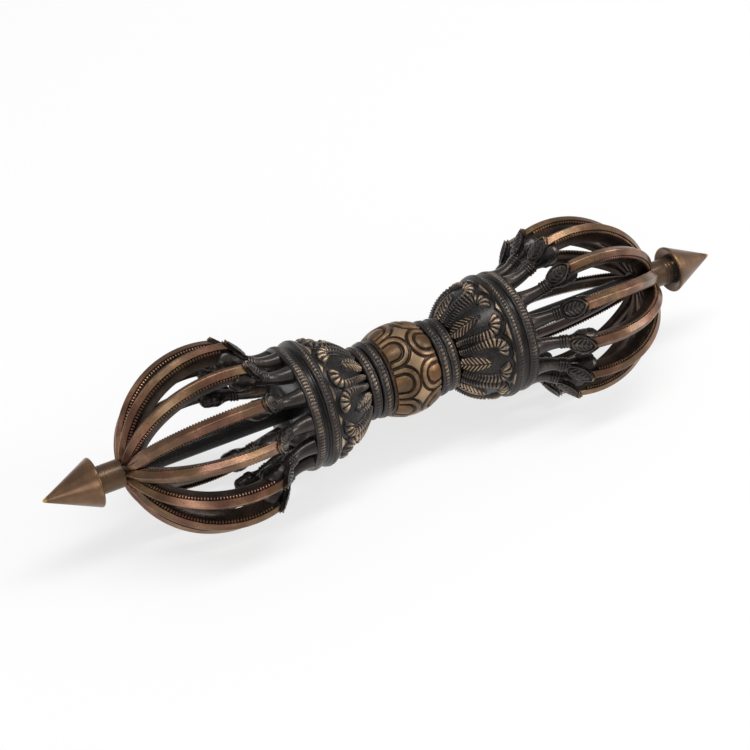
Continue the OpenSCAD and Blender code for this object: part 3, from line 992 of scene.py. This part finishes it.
class VAJRA_OT_finials(bpy.types.Operator):
    """Turn the spear points at both ends"""

    bl_idname = "vajra.finials"
    bl_label = "Finials"

    def execute(self, context):
        sizes = context.scene.vajra.neck
        near, far, r = station("finial")
        tip_z = far - sizes.tip_r
        rim_z = near + sizes.rim_r
        lean = math.degrees(math.atan2(r - sizes.rim_r - sizes.tip_r, tip_z - rim_z))
        seat_r = station("neck_sleeve")[2]
        # The dished back gets no wear, so it takes the near-black deep colour and renders darker than the
        # cone
        profile = [(0, near, 0), (seat_r, near, 0), (seat_r + 0.4 * MM, near + sizes.dish, 0)]
        profile += arc((r - sizes.rim_r, rim_z), sizes.rim_r, -110, lean, 10, 0.34)
        foot, top = Vector(profile[-1]), arc((0, tip_z), sizes.tip_r, lean, 90, 6, 0.9)
        head = Vector((*top[0][:2], 0.28))
        foot.z = head.z
        profile += [tuple(foot.lerp(head, part)) for part in (0.1, 0.3, 0.5, 0.7, 0.92)]
        profile += top
        bm = turned(profile, 128)
        for side in SIDES:
            node = f"{side}_finial"
            add_piece(bm, f"{node}_turned", END[side], finish("finial_brown"), node, 50)
        bm.free()
        return {"FINISHED"}


class VAJRA_OT_spindle(bpy.types.Operator):
    """Give the spindle, which keeps its construction shape, its dark patina"""

    bl_idname = "vajra.spindle"
    bl_label = "Spindle"

    def execute(self, context):
        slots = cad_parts["central_spindle"].material_slots
        if not slots:
            raise RuntimeError("the spindle has no material slot")
        for slot in slots:
            slot.material = finish("black_patina")
        return {"FINISHED"}


# Stage

def soft_light(name, power, wide, deep, place):
    """Area light that is wide along the vajra and aims at the hub"""
    data = bpy.data.lights.new(name, "AREA")
    data.energy = power
    data.shape = "RECTANGLE"
    data.size, data.size_y = wide, deep
    light = bpy.data.objects.new(name, data)
    away = place.normalized()
    across = Vector((1, 0, 0)) - away.x * away
    across.normalize()
    turned_to = Matrix((across, away.cross(across), away)).transposed()
    light.location = place
    light.rotation_euler = turned_to.to_euler()
    bpy.context.scene.collection.objects.link(light)


def seen_directly(tree):
    """One for the rays of the camera and of mirrors, zero for those that light a surface"""
    path = tree.nodes.new("ShaderNodeLightPath")
    seen = calc(tree, "MAXIMUM", path.outputs["Is Camera Ray"], path.outputs["Is Glossy Ray"])
    return calc(tree, "MAXIMUM", seen, path.outputs["Is Transmission Ray"])


class VAJRA_OT_stage(bpy.types.Operator):
    """Set the pale floor, the soft studio light and the camera"""

    bl_idname = "vajra.stage"
    bl_label = "Stage"

    def execute(self, context):
        scene = context.scene
        sizes = scene.vajra.stage
        self.lay_floor(scene, sizes)
        self.light(scene, sizes)
        self.aim_camera(scene, sizes)
        scene.view_settings.view_transform = "Standard"
        return {"FINISHED"}

    def lay_floor(self, scene, sizes):
        """Matt floor under the vajra, brightened towards white for the camera"""
        bm = bmesh.new()
        bmesh.ops.create_grid(bm, x_segments=1, y_segments=1, size=sizes.floor_w)
        bmesh.ops.translate(bm, verts=bm.verts, vec=(0, 0, CAD_BOX[0].z))
        mesh = bpy.data.meshes.new("floor")
        bm.to_mesh(mesh)
        bm.free()
        floor = bpy.data.objects.new("floor", mesh)
        scene.collection.objects.link(floor)
        material = bpy.data.materials.new("pale_floor")
        material.use_nodes = True
        tree = material.node_tree
        shader = tree.nodes["Principled BSDF"]
        shader.inputs["Base Color"].default_value = (*scene.vajra.colours.floor, 1)
        shader.inputs["Roughness"].default_value = 1
        shader.inputs["Specular IOR Level"].default_value = 0
        mix = tree.nodes.new("ShaderNodeMixShader")
        plug(tree, mix.inputs["Fac"], calc(tree, "MULTIPLY", seen_directly(tree), sizes.floor_glow))
        plug(tree, mix.inputs[1], shader.outputs[0])
        plug(tree, mix.inputs[2], tree.nodes.new("ShaderNodeEmission").outputs[0])
        plug(tree, tree.nodes["Material Output"].inputs["Surface"], mix.outputs[0])
        mesh.materials.append(material)

    def light(self, scene, sizes):
        """White surroundings, a long overhead light and two smaller ones"""
        world = bpy.data.worlds.new("studio")
        world.use_nodes = True
        scene.world = world
        background = world.node_tree.nodes["Background"]
        background.inputs["Color"].default_value = (1, 1, 1, 1)
        background.inputs["Strength"].default_value = sizes.ambient
        soft_light("overhead", sizes.key, 1.8, 0.28, Vector((0.1, -0.1, 1.6)))
        soft_light("side", sizes.fill, 0.5, 0.5, Vector((1.2, -0.5, 0.6)))
        soft_light("front", sizes.front, 0.5, 0.5, Vector((-0.9, -0.9, 0.6)))

    def aim_camera(self, scene, sizes):
        """Camera at the photograph's viewing angle"""
        a, e = sizes.azimuth, sizes.elevation
        back = Vector((math.sin(a) * math.cos(e), -math.cos(a) * math.cos(e), math.sin(e)))
        right = Vector((math.cos(a), math.sin(a), 0))
        up = back.cross(right)
        data = bpy.data.cameras.new("camera")
        data.lens = sizes.lens
        data.clip_start = 0.01
        camera = bpy.data.objects.new("camera", data)
        camera.location = back * sizes.distance - right * sizes.aside - up * sizes.below
        camera.rotation_euler = back.to_track_quat("Z", "Y").to_euler()
        scene.collection.objects.link(camera)
        scene.camera = camera


OPERATORS = (
    VAJRA_OT_hub_ball, VAJRA_OT_neck_rings, VAJRA_OT_lotus_cups, VAJRA_OT_mouth_rings,
    VAJRA_OT_prong_plates, VAJRA_OT_prongs, VAJRA_OT_neck_sleeves, VAJRA_OT_finials, VAJRA_OT_spindle,
    VAJRA_OT_stage,
)


class VAJRA_PT_panel(bpy.types.Panel):
    """Sidebar list of the vajra's pieces"""

    bl_label = "Dorje vajra"
    bl_idname = "VAJRA_PT_panel"
    bl_space_type = "VIEW_3D"
    bl_region_type = "UI"
    bl_category = "Vajra"

    def draw(self, context):
        for operator in OPERATORS:
            self.layout.operator(operator.bl_idname)


CLASSES = (
    HubSizes, RingSizes, CupSizes, ProngSizes, NeckSizes, FinishColours, StageSizes, VajraSettings,
    *OPERATORS, VAJRA_PT_panel,
)


def register():
    """Register the classes and the settings"""
    for cls in CLASSES:
        bpy.utils.register_class(cls)
    bpy.types.Scene.vajra = PointerProperty(type=VajraSettings)


def unregister():
    """Remove the settings and the classes"""
    del bpy.types.Scene.vajra
    for cls in reversed(CLASSES):
        bpy.utils.unregister_class(cls)


def main():
    register()
    for operator in OPERATORS:
        group, name = operator.bl_idname.split(".")
        getattr(getattr(bpy.ops, group), name)()


if __name__ == "__main__":
    main()
